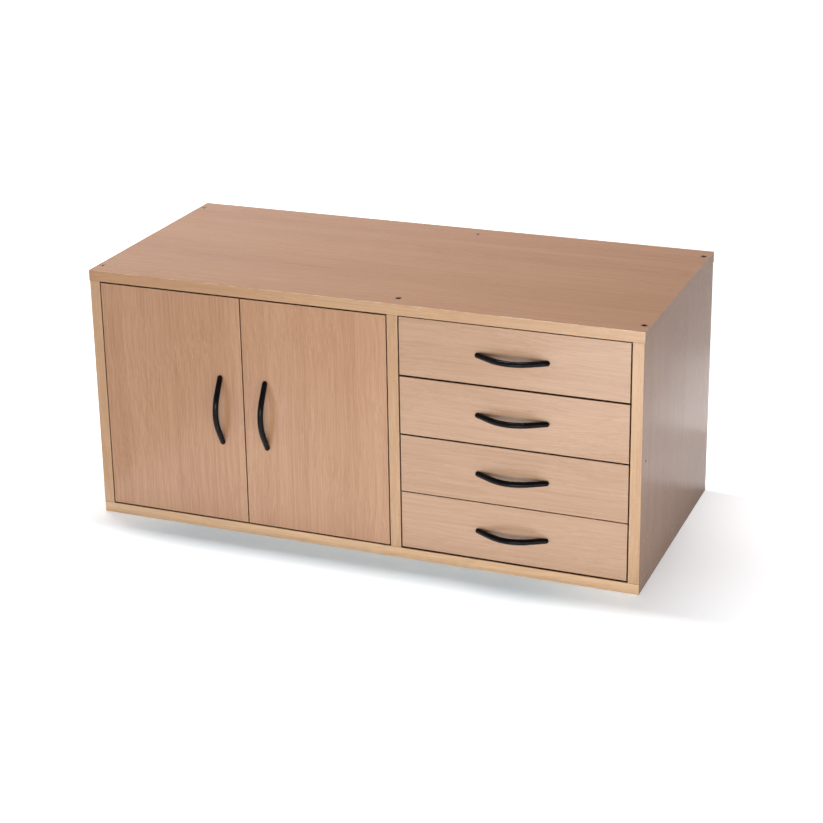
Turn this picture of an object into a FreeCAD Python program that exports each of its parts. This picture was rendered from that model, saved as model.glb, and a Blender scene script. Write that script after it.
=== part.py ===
import FreeCAD, Part
import os
from math import cos, radians, sin, tan
from FreeCAD import Vector

# Storage cabinet of laminated board: two inset doors on the left, four inset drawers on the right.
# Millimetres. The origin is the middle of the underside, +Z is up and the front faces -Y.

# Carcass
overall_width = 840.0
overall_depth = 382.0
overall_height = 385.0
panel = 16.0
side_inset = 0.8
door_opening_width = 453.6
band_thickness = 1.0
edge_round = 0.5

# Back panel, held in a groove round the carcass
back_thickness = 3.0
back_setback = 10.0
back_groove_depth = 6.0
back_play = 0.2
nail_radius = 1.0
nail_length = 20.0
nail_head_radius = 2.2
nail_head_height = 0.8
nail_from_end = 45.0
nail_count = 4

# Carcass screws, through the top and bottom into the upright panels
carcass_screw_from_front = 26.6
carcass_screw_from_back = 28.7
carcass_screw_length = 50.0
carcass_screw_head_radius = 4.3
carcass_screw_head_height = 3.0
carcass_screw_shank_radius = 3.5
carcass_screw_core_radius = 2.5
carcass_screw_recess = 0.4
hex_socket_radius = 2.3
hex_socket_depth = 2.4
screw_play = 0.1

# Fixing hole in each side, for screwing the cabinet to a bench leg
fixing_hole_radius = 2.5
fixing_hole_from_front = 21.2

# Shelf and its pins
shelf_rise = 172.0
shelf_setback = 22.0
shelf_play = 1.5
shelf_back_gap = 0.5
pin_radius = 2.5
pin_bite = 9.0
pin_reach = 9.0
pin_from_shelf_end = 40.0
pin_pitch = 32.0
pin_collar_radius = 4.0
pin_collar_thickness = 1.0

# Doors
door_side_gap = 1.8
door_end_gap = 2.0
door_handle_from_edge = 35.0

# Hinges: one pin in a cup let into the door, carried by a cranked arm on a plate
hinge_from_door_end = 60.0
pin_from_door_edge = 20.0
pin_behind_front = 7.0
hinge_pin_radius = 1.75
hinge_pin_play = 0.05
eye_radius = 3.0
cup_radius = 17.5
cup_floor_wood = 3.0
cup_offset = 2.0
cup_wall = 1.0
cup_flange_thickness = 1.0
cup_flange_length = 60.0
cup_flange_width = 18.0
cup_flange_offset = 6.0
cup_flange_round = 4.5
cup_screw_spacing = 48.0
arm_thickness = 2.5
arm_width = 12.0
arm_reach = 14.0
arm_back = 26.0
arm_tail = 44.0
plate_thickness = 3.0
plate_length = 46.0
plate_height = 32.0
plate_screw_from_arm = 14.0
plate_screw_pitch = 24.0

# Magnetic catches under the top, one for each door
catch_from_edge = 42.0
catch_length = 22.0
catch_depth = 14.0
catch_height = 13.0
catch_flange_length = 46.0
catch_flange_thickness = 5.0
catch_screw_spacing = 34.0
catch_gap = 0.3
magnet_length = 16.0
magnet_height = 6.0
magnet_depth = 8.0
magnet_drop = 4.0
strike_length = 28.0
strike_height = 10.0
strike_thickness = 1.2

# Drawers
drawer_side_gap = 2.0
gap_above_drawer_1 = 1.2
gap_above_drawer_2 = 2.7
gap_above_drawer_3 = 2.2
gap_above_drawer_4 = 1.4
gap_below_drawer_4 = 2.7
drawer_board = 12.0
box_rise = 10.0
box_headroom = 15.7
drawer_back_gap = 13.0
drawer_bottom_thickness = 3.0
drawer_bottom_rise = 6.0
drawer_groove_depth = 4.0
drawer_groove_play = 0.2

# Runner strips, screwed to the carcass, in grooves along the drawer sides
runner_thickness = 8.0
runner_height = 14.0
runner_from_front = 15.0
runner_play = 0.3
runner_screw_from_end = 42.0

# Cam bolts that draw each drawer side to its front
cam_radius = 6.0
cam_depth = 9.0
cam_from_front = 24.0
cam_bolt_radius = 3.0
cam_bolt_bite = 10.0
cam_seam_turn = 45  # degrees, turns the seam of the hole away from the bolt

# Bow handles
handle_length = 108.0
handle_centres = 96.0
handle_width = 8.4
handle_projection = 25.0
handle_depth = 9.0
handle_leg_angle = 28.0
handle_tip = 4.5
handle_round = 2.6
handle_under_round = 1.2
handle_screw_radius = 2.0
handle_screw_bite = 4.5
handle_screw_head_radius = 4.0
handle_screw_head_height = 2.6

# Small countersunk screws for the fittings, and longer ones for the drawer backs
fitting_screw_length = 16.0
fitting_screw_head_radius = 3.2
fitting_screw_head_height = 2.0
fitting_screw_core_radius = 1.6
cup_screw_length = 12.0
strike_screw_length = 10.0
back_screw_length = 30.0
cross_slot_length = 3.0
cross_slot_width = 0.8
cross_slot_depth = 1.0

# Shares of a drawer box's height at its runners, its cams and its back's screws
runner_height_share = 0.43
cam_height_share = 0.78
back_screw_shares = (0.67, 0.87)

# Share of the strike's half length at its screws
strike_screw_share = 0.7

overrun = 5.0

origin = Vector(0, 0, 0)
right = Vector(1, 0, 0)
back = Vector(0, 1, 0)
up = Vector(0, 0, 1)
left = right * -1
front = back * -1
down = up * -1

# Places that follow from the sizes
half_width = overall_width / 2
front_y = -overall_depth / 2
rear_y = overall_depth / 2
panel_front_y = front_y + band_thickness
inside_front_y = front_y + panel
left_outer_x = -half_width + side_inset
left_inner_x = left_outer_x + panel
right_outer_x = half_width - side_inset
right_inner_x = right_outer_x - panel
divider_left_x = left_inner_x + door_opening_width
divider_right_x = divider_left_x + panel
floor_z = panel
ceiling_z = overall_height - panel
back_rear_y = rear_y - back_setback
back_front_y = back_rear_y - back_thickness
door_width = (door_opening_width - 3 * door_side_gap) / 2
door_low_z = floor_z + door_end_gap
door_high_z = ceiling_z - door_end_gap
door_mid_z = (door_low_z + door_high_z) / 2
hinge_heights = (door_low_z + hinge_from_door_end, door_high_z - hinge_from_door_end)
hinge_pin_y = front_y + pin_behind_front
drawer_gaps = (gap_above_drawer_1, gap_above_drawer_2, gap_above_drawer_3, gap_above_drawer_4)
drawer_front_height = (ceiling_z - floor_z - sum(drawer_gaps) - gap_below_drawer_4) / len(drawer_gaps)
drawer_left_x = divider_right_x + drawer_side_gap
drawer_right_x = right_inner_x - drawer_side_gap
drawer_mid_x = (drawer_left_x + drawer_right_x) / 2
box_rear_y = back_front_y - drawer_back_gap
box_height = drawer_front_height - box_rise - box_headroom


def box(low_x, high_x, low_y, high_y, low_z, high_z):
    size = Vector(high_x - low_x, high_y - low_y, high_z - low_z)
    return Part.makeBox(size.x, size.y, size.z, Vector(low_x, low_y, low_z))


def rod(radius, length, start, direction):
    return Part.makeCylinder(radius, length, start, direction)


# A solid turned from (radius, depth) points, sunk from its start along a direction
def turned(profile, start, direction):
    points = [Vector(radius, 0, depth) for radius, depth in profile]
    face = Part.Face(Part.makePolygon(points + points[:1]))
    solid = face.revolve(origin, up, 360)
    solid.Placement = FreeCAD.Placement(start, FreeCAD.Rotation(up, direction))
    return solid


# A screw turned from its (radius, depth) outline, and the hole that takes it
def screw_and_hole(outline, start, direction):
    tip_depth = outline[-1][1]
    screw = turned([(0, 0)] + outline + [(0, tip_depth)], start, direction)
    wall = [(radius + screw_play, depth) for radius, depth in outline]
    mouth = [(0, -overrun), (wall[0][0], -overrun)]
    floor_depth = tip_depth + screw_play
    floor = [(wall[-1][0], floor_depth), (0, floor_depth)]
    return screw, turned(mouth + wall[:-1] + floor, start, direction)


# The crossed slots in a screw's head
def cross_slot(start, direction):
    half_length = cross_slot_length / 2
    half_width_of_slot = cross_slot_width / 2
    bar = box(-half_length, half_length, -half_width_of_slot, half_width_of_slot, 0, cross_slot_depth)
    slot = bar.fuse(bar.rotated(origin, up, 90))
    slot.Placement = FreeCAD.Placement(start, FreeCAD.Rotation(up, direction))
    return slot


# A countersunk screw with crossed slots, and its hole
def countersunk(length, start, direction):
    outline = [
        (fitting_screw_head_radius, 0),
        (fitting_screw_core_radius, fitting_screw_head_height),
        (fitting_screw_core_radius, length),
    ]
    screw, hole = screw_and_hole(outline, start, direction)
    return screw.cut(cross_slot(start, direction)), hole


# A carcass screw with a six-sided socket, sunk a little below the panel's face, and its hole
def carcass_screw(face_point, direction):
    outline = [
        (carcass_screw_head_radius, 0),
        (carcass_screw_shank_radius, carcass_screw_head_height),
        (carcass_screw_shank_radius, panel),
        (carcass_screw_core_radius, panel),
        (carcass_screw_core_radius, carcass_screw_length),
    ]
    start = face_point + direction * carcass_screw_recess
    screw, hole = screw_and_hole(outline, start, direction)
    corner = Vector(hex_socket_radius, 0, 0)
    corners = [FreeCAD.Rotation(up, 60 * turn).multVec(corner) for turn in range(7)]
    socket = Part.Face(Part.makePolygon(corners)).extrude(up * hex_socket_depth)
    socket.Placement = FreeCAD.Placement(start, FreeCAD.Rotation(up, direction))
    return screw.cut(socket), hole


# A pan-head handle screw on a panel's inner face, and the hole that takes it
def handle_screw(start):
    shank_length = panel + handle_screw_bite
    head = rod(handle_screw_head_radius, handle_screw_head_height, start, back)
    shank = rod(handle_screw_radius, shank_length, start, front)
    slot = cross_slot(start + back * handle_screw_head_height, front)
    hole = rod(handle_screw_radius + screw_play, shank_length + screw_play, start, front)
    return head.fuse(shank).cut(slot), hole


# A bow handle that stands on the plane y = 0 and lies along X: two straight legs and a round bend
def bow_handle():
    half = handle_length / 2
    angle = radians(handle_leg_angle)
    rise = handle_projection - handle_tip
    bend_half = (half * tan(angle) - rise) / (tan(angle) - tan(angle / 2))
    radius = bend_half / sin(angle)
    low_z = -handle_width / 2
    crown = handle_bend(radius, radius - handle_projection, low_z)
    under = handle_bend(radius - handle_depth, radius - handle_projection, low_z)
    toe = under[2].x - under[2].y / tan(angle)
    outline = [Vector(-half, -handle_tip, low_z), Vector(-half, 0, low_z), Vector(-toe, 0, low_z)]
    mirrored = [Vector(toe, 0, low_z), Vector(half, 0, low_z), Vector(half, -handle_tip, low_z)]
    first_leg = Part.makePolygon([crown[0]] + outline + [under[0]]).Edges
    second_leg = Part.makePolygon([under[2]] + mirrored + [crown[2]]).Edges
    edges = first_leg + [Part.Arc(*under).toShape()] + second_leg + [Part.Arc(*reversed(crown)).toShape()]
    bow = Part.Face(Part.Wire(edges)).extrude(up * handle_width)
    straight = half - handle_width / 2
    plan = box(-straight, straight, -handle_projection, 0, low_z, -low_z)
    for end in (-straight, straight):
        plan = plan.fuse(rod(handle_width / 2, handle_projection, Vector(end, 0, 0), front))
    bow = bow.common(plan.removeSplitter()).removeSplitter()
    outer = [edge for edge in bow.Edges if edge.BoundBox.YMax < -handle_tip / 2 and not is_under_bend(edge)]
    bow = bow.makeFillet(handle_round, outer)
    inner = [edge for edge in bow.Edges if is_under_bend(edge)]
    return bow.makeFillet(handle_under_round, inner)


# Three points of a bend of the handle, from left to right
def handle_bend(radius, centre_y, z):
    turns = [radians(handle_leg_angle * share) for share in (-1, 0, 1)]
    return [Vector(radius * sin(turn), centre_y - radius * cos(turn), z) for turn in turns]


# The edges under the bend cross the middle of the handle
def is_under_bend(edge):
    reach = edge.BoundBox
    return reach.XMin < 0 < reach.XMax and reach.YMin > handle_depth / 2 - handle_projection


def rounded_front(shape, y):
    edges = [edge for edge in shape.Edges if edge.BoundBox.YMax < y + edge_round]
    return shape.makeFillet(edge_round, edges)


def cut_all(shape, holes):
    return shape.cut(holes) if holes else shape


def save(name, solids):
    shape = solids[0] if len(solids) == 1 else Part.makeCompound(solids)
    shape.exportStep("parts/" + name + ".step")


# Each fitting adds the holes it needs to the panel that carries it
drilled_panels = ("top_panel", "bottom_panel", "left_side", "right_side", "divider", "back_panel")
holes = {name: [] for name in drilled_panels}
fitting_screws = []


def add_fitting_screw(panel_name, start, direction):
    screw, hole = countersunk(fitting_screw_length, start, direction)
    fitting_screws.append(screw)
    holes[panel_name].append(hole)
    return hole


def make_carcass_screws():
    uprights = {
        "left_side": (left_outer_x + left_inner_x) / 2,
        "divider": (divider_left_x + divider_right_x) / 2,
        "right_side": (right_outer_x + right_inner_x) / 2,
    }
    ends = {"top_panel": (overall_height, down), "bottom_panel": (0, up)}
    screws = []
    for end_name, (z, direction) in ends.items():
        for upright_name, x in uprights.items():
            for y in (front_y + carcass_screw_from_front, rear_y - carcass_screw_from_back):
                screw, hole = carcass_screw(Vector(x, y, z), direction)
                screws.append(screw)
                holes[end_name].append(hole)
                holes[upright_name].append(hole)
    save("carcass_screws", screws)


def make_back():
    reach = back_groove_depth - back_play
    sheet = box(
        left_inner_x - reach, right_inner_x + reach, back_front_y, back_rear_y,
        floor_z - reach, ceiling_z + reach)
    groove = box(
        left_inner_x - back_groove_depth, right_inner_x + back_groove_depth,
        back_front_y - back_play, back_rear_y + back_play,
        floor_z - back_groove_depth, ceiling_z + back_groove_depth)
    for name in ("top_panel", "bottom_panel", "left_side", "right_side"):
        holes[name].append(groove)
    nails = []
    span = ceiling_z - floor_z - 2 * nail_from_end
    for number in range(nail_count):
        z = floor_z + nail_from_end + span * number / (nail_count - 1)
        start = Vector((divider_left_x + divider_right_x) / 2, back_rear_y, z)
        nail = rod(nail_radius, nail_length, start, front)
        hole = rod(nail_radius + screw_play, nail_length + screw_play, start, front)
        holes["back_panel"].append(hole)
        holes["divider"].append(hole)
        nails.append(nail.fuse(rod(nail_head_radius, nail_head_height, start, back)))
    save("back_panel", [cut_all(sheet, holes["back_panel"])])
    save("back_nails", nails)


def make_shelf():
    low_z = floor_z + shelf_rise
    shelf_front_y = inside_front_y + shelf_setback
    shelf_rear_y = back_front_y - shelf_back_gap
    low_x = left_inner_x + shelf_play
    high_x = divider_left_x - shelf_play
    board = box(low_x, high_x, shelf_front_y, shelf_rear_y, low_z, low_z + panel)
    pins = []
    for panel_name, x, inward in (("left_side", left_inner_x, right), ("divider", divider_left_x, left)):
        for y in (shelf_front_y + pin_from_shelf_end, shelf_rear_y - pin_from_shelf_end):
            seat = Vector(x, y, low_z - pin_radius)
            pin = rod(pin_radius, pin_bite + pin_reach, seat - inward * pin_bite, inward)
            collar = rod(pin_collar_radius, pin_collar_thickness, seat, inward)
            pins.append(pin.fuse(collar))
            for step in (-1, 0, 1):
                mouth = seat + up * (pin_pitch * step)
                hole = rod(pin_radius + screw_play, pin_bite + screw_play, mouth, inward * -1)
                holes[panel_name].append(hole)
    save("shelf", [rounded_front(board, shelf_front_y)])
    save("shelf_pins", pins)


def make_runners():
    rails = {
        "left_runners": ("divider", divider_right_x, right),
        "right_runners": ("right_side", right_inner_x, left),
    }
    near_y = inside_front_y + runner_from_front
    far_y = box_rear_y
    for name, (panel_name, x, inward) in rails.items():
        strips = []
        for low_z, high_z in drawer_spans():
            mid_z = low_z + box_rise + box_height * runner_height_share
            face_x = x + inward.x * runner_thickness
            low_edge = mid_z - runner_height / 2
            strip = box(min(x, face_x), max(x, face_x), near_y, far_y, low_edge, low_edge + runner_height)
            for y in (near_y + runner_screw_from_end, far_y - runner_screw_from_end):
                strip = strip.cut(add_fitting_screw(panel_name, Vector(face_x, y, mid_z), inward * -1))
            strips.append(strip)
        save(name, strips)


# The lower and upper edge of each drawer front, from the top drawer down
def drawer_spans():
    spans = []
    high_z = ceiling_z
    for gap in drawer_gaps:
        high_z = high_z - gap
        spans.append((high_z - drawer_front_height, high_z))
        high_z = high_z - drawer_front_height
    return spans


# The hinge's own plan: X runs inboard from the pin and Y runs back from it, for the left door
def cranked_arm(wall_x):
    low_z = -arm_width / 2
    tail_x = wall_x + plate_thickness + arm_thickness / 2
    path = Part.makePolygon([
        Vector(0, 0, low_z),
        Vector(arm_reach, 0, low_z),
        Vector(arm_reach, arm_back, low_z),
        Vector(tail_x, arm_back, low_z),
        Vector(tail_x, arm_back + arm_tail, low_z),
    ])
    strip = Part.Face(path.makeOffset2D(arm_thickness / 2)).extrude(up * arm_width)
    eye = rod(eye_radius, arm_width, Vector(0, 0, low_z), up)
    bore = rod(hinge_pin_radius + hinge_pin_play, arm_width + 2 * overrun, Vector(0, 0, low_z - overrun), up)
    return strip.fuse(eye).cut(bore)


# The round cup and its flange on the door's inner face, in the hinge's own plan
def hinge_cup():
    face_y = panel - pin_behind_front
    depth = panel - cup_floor_wood
    mouth = Vector(cup_offset, face_y, 0)
    shell = rod(cup_radius, depth, mouth, front)
    half_length = cup_flange_length / 2
    flange_x = cup_offset + cup_flange_offset
    half_flange = cup_flange_width / 2
    flange = box(
        flange_x - half_flange, flange_x + half_flange,
        face_y, face_y + cup_flange_thickness, -half_length, half_length)
    corners = [edge for edge in flange.Edges if edge.BoundBox.YLength > cup_flange_thickness / 2]
    flange = flange.makeFillet(cup_flange_round, corners)
    rim = rod(cup_radius + cup_wall, cup_flange_thickness, mouth, back)
    hollow = rod(cup_radius - cup_wall, depth - cup_wall + overrun, mouth + back * overrun, front)
    return shell.fuse([flange, rim]).cut(hollow), rod(cup_radius, depth, mouth, front)


# The hinge pin spans the cup and ends inside its wall
def hinge_pin(play):
    half_span = (cup_radius ** 2 - cup_offset ** 2) ** 0.5 - cup_wall / 2
    return rod(hinge_pin_radius + play, 2 * half_span, down * half_span, up)


def in_place(shape, pin_x, z, mirrored):
    placed = shape.mirror(origin, right) if mirrored else shape.copy()
    placed.translate(Vector(pin_x, hinge_pin_y, z))
    return placed


# The fixed half of the four hinges, on the left side and on the divider
def make_hinge_fixings():
    wall_x = -pin_from_door_edge - door_side_gap
    half_height = plate_height / 2
    plate_front = arm_back + arm_thickness / 2
    plate = box(
        wall_x, wall_x + plate_thickness, plate_front, plate_front + plate_length,
        -half_height, half_height)
    arm = cranked_arm(wall_x)
    walls = (("left_side", left_inner_x, False), ("divider", divider_left_x, True))
    plates = []
    arms = []
    for panel_name, x, mirrored in walls:
        pin_x = x + wall_x if mirrored else x - wall_x
        inward = left if mirrored else right
        for z in hinge_heights:
            one_plate = in_place(plate, pin_x, z, mirrored)
            one_arm = in_place(arm, pin_x, z, mirrored)
            for number in range(2):
                y = hinge_pin_y + arm_back + plate_screw_from_arm + plate_screw_pitch * number
                start = Vector(x, y, z) + inward * (plate_thickness + arm_thickness)
                hole = add_fitting_screw(panel_name, start, inward * -1)
                one_plate = one_plate.cut(hole)
                one_arm = one_arm.cut(hole)
            plates.append(one_plate)
            arms.append(one_arm)
    save("hinge_plates", plates)
    save("hinge_arms", arms)


def catch_places():
    return (
        left_inner_x + door_side_gap + door_width - catch_from_edge,
        divider_left_x - door_side_gap - door_width + catch_from_edge,
    )


def make_catches():
    near_y = inside_front_y + strike_thickness + catch_gap
    far_y = near_y + catch_depth
    mid_y = (near_y + far_y) / 2
    bodies = []
    magnets = []
    for x in catch_places():
        half_block = catch_length / 2
        half_flange = catch_flange_length / 2
        flange_low_z = ceiling_z - catch_flange_thickness
        block = box(x - half_block, x + half_block, near_y, far_y, ceiling_z - catch_height, ceiling_z)
        flange = box(x - half_flange, x + half_flange, near_y, far_y, flange_low_z, ceiling_z)
        body = block.fuse(flange).removeSplitter()
        for side in (-1, 1):
            start = Vector(x + side * catch_screw_spacing / 2, mid_y, flange_low_z)
            body = body.cut(add_fitting_screw("top_panel", start, up))
        magnet_high_z = ceiling_z - magnet_drop
        half_magnet = magnet_length / 2
        magnet = box(
            x - half_magnet, x + half_magnet, near_y, near_y + magnet_depth,
            magnet_high_z - magnet_height, magnet_high_z)
        bodies.append(body.cut(magnet))
        magnets.append(magnet)
    save("catch_bodies", bodies)
    save("catch_magnets", magnets)


def make_panels():
    for x, inward, name in ((left_outer_x, right, "left_side"), (right_outer_x, left, "right_side")):
        start = Vector(x, front_y + fixing_hole_from_front, overall_height / 2) - inward * overrun
        holes[name].append(rod(fixing_hole_radius, panel + 2 * overrun, start, inward))
    panels = {
        "top_panel": box(-half_width, half_width, panel_front_y, rear_y, ceiling_z, overall_height),
        "bottom_panel": box(left_outer_x, right_outer_x, panel_front_y, rear_y, 0, floor_z),
        "left_side": box(left_outer_x, left_inner_x, panel_front_y, rear_y, floor_z, ceiling_z),
        "right_side": box(right_inner_x, right_outer_x, panel_front_y, rear_y, floor_z, ceiling_z),
        "divider": box(divider_left_x, divider_right_x, panel_front_y, back_front_y, floor_z, ceiling_z),
    }
    for name, shape in panels.items():
        save(name, [cut_all(shape, holes[name])])
    bands = [
        box(-half_width, half_width, front_y, panel_front_y, ceiling_z, overall_height),
        box(left_outer_x, right_outer_x, front_y, panel_front_y, 0, floor_z),
        box(left_outer_x, left_inner_x, front_y, panel_front_y, floor_z, ceiling_z),
        box(right_inner_x, right_outer_x, front_y, panel_front_y, floor_z, ceiling_z),
        box(divider_left_x, divider_right_x, front_y, panel_front_y, floor_z, ceiling_z),
    ]
    save("front_edge_bands", [rounded_front(band, front_y) for band in bands])


# Two handle screws for a handle whose middle and long direction are given
def handle_fixings(middle, along):
    pairs = [handle_screw(middle + along * (side * handle_centres / 2)) for side in (-1, 1)]
    return [screw for screw, hole in pairs], [hole for screw, hole in pairs]


def make_door(name, hinge_x, inboard, catch_x):
    mirrored = inboard.x < 0
    edge_x = hinge_x + inboard.x * door_side_gap
    free_x = edge_x + inboard.x * door_width
    pin_x = edge_x + inboard.x * pin_from_door_edge
    board = box(min(edge_x, free_x), max(edge_x, free_x), front_y, inside_front_y, door_low_z, door_high_z)
    board = rounded_front(board, front_y)
    handle_x = free_x - inboard.x * door_handle_from_edge
    screws, screw_holes = handle_fixings(Vector(handle_x, inside_front_y, door_mid_z), up)
    handle = bow_handle().rotated(origin, back, 90)
    handle.translate(Vector(handle_x, front_y, door_mid_z))
    handle = cut_all(handle, screw_holes)
    board_holes = list(screw_holes)
    cup, cup_hole = hinge_cup()
    cup = cup.cut(hinge_pin(hinge_pin_play))
    cups = []
    pins = []
    for z in hinge_heights:
        one_cup = in_place(cup, pin_x, z, mirrored)
        board_holes.append(in_place(cup_hole, pin_x, z, mirrored))
        screw_x = pin_x + inboard.x * (cup_offset + cup_flange_offset)
        for side in (-1, 1):
            start = Vector(screw_x, inside_front_y + cup_flange_thickness, z + side * cup_screw_spacing / 2)
            screw, hole = countersunk(cup_screw_length, start, front)
            screws.append(screw)
            board_holes.append(hole)
            one_cup = one_cup.cut(hole)
        cups.append(one_cup)
        pins.append(in_place(hinge_pin(0), pin_x, z, mirrored))
    strike_mid_z = ceiling_z - magnet_drop - magnet_height / 2
    half_strike = strike_length / 2
    strike = box(
        catch_x - half_strike, catch_x + half_strike, inside_front_y, inside_front_y + strike_thickness,
        strike_mid_z - strike_height / 2, strike_mid_z + strike_height / 2)
    for side in (-1, 1):
        screw_x = catch_x + side * half_strike * strike_screw_share
        start = Vector(screw_x, inside_front_y + strike_thickness, strike_mid_z)
        screw, hole = countersunk(strike_screw_length, start, front)
        screws.append(screw)
        board_holes.append(hole)
        strike = strike.cut(hole)
    save(name + "_panel", [cut_all(board, board_holes)])
    save(name + "_handle", [handle])
    save(name + "_hinge_cups", cups)
    save(name + "_hinge_pins", pins)
    save(name + "_strike", [strike])
    save(name + "_screws", screws)


def make_drawer(name, low_z, high_z):
    mid_z = (low_z + high_z) / 2
    box_low_z = low_z + box_rise
    box_high_z = box_low_z + box_height
    inner_left_x = drawer_left_x + drawer_board
    inner_right_x = drawer_right_x - drawer_board
    board = box(drawer_left_x, drawer_right_x, front_y, inside_front_y, low_z, high_z)
    board = rounded_front(board, front_y)
    fixings, screw_holes = handle_fixings(Vector(drawer_mid_x, inside_front_y, mid_z), right)
    handle = bow_handle()
    handle.translate(Vector(drawer_mid_x, front_y, mid_z))
    bottom_low_z = box_low_z + drawer_bottom_rise
    bottom_high_z = bottom_low_z + drawer_bottom_thickness
    reach = drawer_groove_depth - drawer_groove_play
    bottom = box(
        inner_left_x - reach, inner_right_x + reach, inside_front_y - reach, box_rear_y,
        bottom_low_z, bottom_high_z)
    bottom_groove = box(
        inner_left_x - drawer_groove_depth, inner_right_x + drawer_groove_depth,
        inside_front_y - drawer_groove_depth, box_rear_y + overrun,
        bottom_low_z - drawer_groove_play, bottom_high_z + drawer_groove_play)
    back_board = box(
        inner_left_x, inner_right_x, box_rear_y - drawer_board, box_rear_y,
        bottom_high_z + drawer_groove_play, box_high_z)
    front_holes = screw_holes + [bottom_groove]
    back_holes = []
    sides = {
        "left": (drawer_left_x, inner_left_x, right),
        "right": (drawer_right_x, inner_right_x, left),
    }
    for side_name, (outer_x, inner_x, inward) in sides.items():
        side = box(
            min(outer_x, inner_x), max(outer_x, inner_x), inside_front_y, box_rear_y,
            box_low_z, box_high_z)
        side_holes = [bottom_groove, runner_groove(outer_x, inward, box_low_z)]
        cam, bolt, cam_hole, bolt_hole = cam_fixing(inner_x, inward, box_low_z)
        side_holes.extend([cam_hole, bolt_hole])
        front_holes.append(bolt_hole)
        fixings.extend([cam, bolt])
        for share in back_screw_shares:
            start = Vector(outer_x, box_rear_y - drawer_board / 2, box_low_z + box_height * share)
            screw, hole = countersunk(back_screw_length, start, inward)
            fixings.append(screw)
            side_holes.append(hole)
            back_holes.append(hole)
        save(name + "_" + side_name + "_side", [cut_all(side, side_holes)])
    save(name + "_front", [cut_all(board, front_holes)])
    save(name + "_back", [cut_all(back_board, back_holes)])
    save(name + "_bottom", [bottom])
    save(name + "_handle", [cut_all(handle, screw_holes)])
    save(name + "_fixings", fixings)


# The groove in a drawer side, open at the rear, that the runner strip fits
def runner_groove(outer_x, inward, box_low_z):
    depth = runner_thickness - drawer_side_gap + runner_play
    floor_x = outer_x + inward.x * depth
    mouth_x = outer_x - inward.x * overrun
    mid_z = box_low_z + box_height * runner_height_share
    half_height = runner_height / 2 + runner_play
    near_y = inside_front_y + runner_from_front - runner_play
    return box(
        min(floor_x, mouth_x), max(floor_x, mouth_x), near_y, box_rear_y + overrun,
        mid_z - half_height, mid_z + half_height)


# A cam in a drawer side's inner face, the bolt that it draws on, and their holes
def cam_fixing(inner_x, inward, box_low_z):
    z = box_low_z + box_height * cam_height_share
    mouth = Vector(inner_x, inside_front_y + cam_from_front, z)
    bolt_start = Vector(inner_x - inward.x * drawer_board / 2, inside_front_y - cam_bolt_bite, z)
    bolt_length = cam_bolt_bite + cam_from_front
    outward = inward * -1
    bolt = rod(cam_bolt_radius, bolt_length, bolt_start, back)
    hole_start = bolt_start - back * screw_play
    bolt_hole = rod(cam_bolt_radius + screw_play, bolt_length + screw_play, hole_start, back)
    slot = cross_slot(mouth, outward)
    cam = rod(cam_radius, cam_depth, mouth, outward).cut(bolt_hole).cut(slot)
    cam_hole = rod(cam_radius + screw_play, cam_depth + screw_play, mouth, outward)
    return cam, bolt, cam_hole.rotated(mouth, outward, cam_seam_turn), bolt_hole


os.makedirs("parts", exist_ok=True)
make_carcass_screws()
make_back()
make_shelf()
make_runners()
make_hinge_fixings()
make_catches()
make_panels()
left_catch_x, right_catch_x = catch_places()
make_door("left_door", left_inner_x, right, left_catch_x)
make_door("right_door", divider_left_x, left, right_catch_x)
for number, (low_z, high_z) in enumerate(drawer_spans(), start=1):
    make_drawer("drawer_" + str(number), low_z, high_z)
save("fitting_screws", fitting_screws)
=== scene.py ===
import bpy
import bmesh
import math
from mathutils import Matrix, Vector


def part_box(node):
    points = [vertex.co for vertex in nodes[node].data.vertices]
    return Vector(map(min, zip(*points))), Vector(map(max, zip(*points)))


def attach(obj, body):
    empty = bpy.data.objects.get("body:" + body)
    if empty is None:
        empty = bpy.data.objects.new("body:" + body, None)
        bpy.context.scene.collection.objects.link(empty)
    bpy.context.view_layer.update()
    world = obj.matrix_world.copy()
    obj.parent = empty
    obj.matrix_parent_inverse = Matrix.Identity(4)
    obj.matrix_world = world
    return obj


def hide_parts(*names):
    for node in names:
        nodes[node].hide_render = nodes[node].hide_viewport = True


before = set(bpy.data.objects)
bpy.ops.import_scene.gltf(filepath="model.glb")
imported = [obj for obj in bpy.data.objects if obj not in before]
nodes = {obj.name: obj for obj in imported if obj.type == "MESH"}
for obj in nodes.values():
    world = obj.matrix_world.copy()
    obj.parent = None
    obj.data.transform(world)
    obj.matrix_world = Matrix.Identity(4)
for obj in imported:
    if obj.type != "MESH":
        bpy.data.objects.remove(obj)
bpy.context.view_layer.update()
mm = 0.001
axes = {"x": Vector((1, 0, 0)), "y": Vector((0, 1, 0)), "z": Vector((0, 0, 1))}
drawerNames = ["drawer_%d" % number for number in range(1, 5)]
doorNames = ["left_door", "right_door"]


# Camera and stage

camera = {
    "position": (1.0758, -2.6540, 1.2790),
    "azimuth": 21.86,
    "elevation": 19.29,
    "roll": -0.91,
    "lens": 89.03,
    "shiftY": -0.099,  # the photograph's frame is cut low
    "clipEnd": 120.0,
}


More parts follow.
